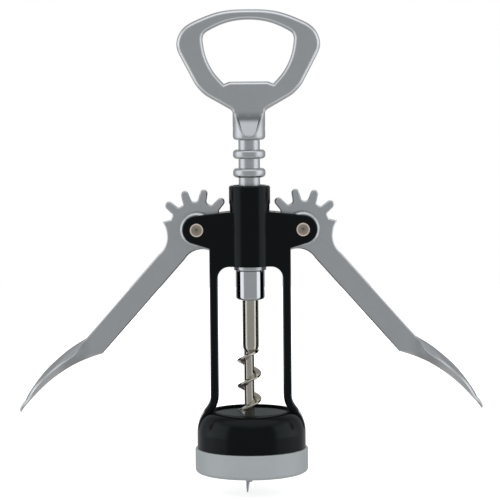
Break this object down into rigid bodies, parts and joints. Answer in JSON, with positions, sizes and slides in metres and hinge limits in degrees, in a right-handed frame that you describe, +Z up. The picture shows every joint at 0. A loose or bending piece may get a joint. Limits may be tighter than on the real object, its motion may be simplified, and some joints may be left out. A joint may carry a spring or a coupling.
{
  "type": "lever corkscrew",
  "caption": "Winged corkscrew: toothed levers on a bell-based frame drive a ringed rack up and down, with a turning worm, a bottle-opener handle and a pale base ring.",
  "frame": {"origin": "centre of the base ring's underside, where the tool sits on a bottle's lip", "axes": "+Z up along the worm's axis, +X towards the right lever, +Y towards the back"},
  "size_m": [0.1722, 0.042, 0.1792],
  "materials": {
    "black_enamel": "glossy black enamel over a die casting",
    "pale_plastic": "smooth moulded, pale grey",
    "rivet_steel": "plain steel with a warm tint",
    "satin_chrome": "satin plated die casting",
    "bright_chrome": "polished",
    "nickel_steel": "nickel plated, drawn and ground"
  },
  "bodies": {
    "frame": {"frame_casting": "black_enamel", "base_ring": "pale_plastic", "left_pivot_pin": "rivet_steel", "right_pivot_pin": "rivet_steel"},
    "rack": {"rack_sleeve": "satin_chrome"},
    "spindle": {"opener_handle": "satin_chrome", "handle_cross_pin": "rivet_steel", "worm_ferrule": "bright_chrome", "ferrule_cross_pin": "rivet_steel", "worm": "nickel_steel"},
    "left_lever": {"left_lever": "satin_chrome"},
    "right_lever": {"right_lever": "satin_chrome"}
  },
  "joints": [
    {"name": "rack_slide", "type": "slide", "parent": "frame", "child": "rack", "axis": [0, 0, 1], "range_m": [-0.0266, 0.0094]},
    {"name": "spindle_turn", "type": "hinge", "parent": "rack", "child": "spindle", "pos_m": [0, 0, 0.1014], "axis": [0, 0, 1], "continuous": true},
    {"name": "left_lever_pivot", "type": "hinge", "parent": "frame", "child": "left_lever", "pos_m": [-0.0196, 0, 0.0904], "axis": [0, -1, 0], "range_deg": [-116.7, 41.5]},
    {"name": "right_lever_pivot", "type": "hinge", "parent": "frame", "child": "right_lever", "pos_m": [0.0196, 0, 0.0904], "axis": [0, 1, 0], "range_deg": [-116.7, 41.5]}
  ],
  "couplings": [
    {"joint": "left_lever_pivot", "follows": "rack_slide", "rad_per_m": 76.326},
    {"joint": "right_lever_pivot", "follows": "rack_slide", "rad_per_m": 76.326}
  ]
}
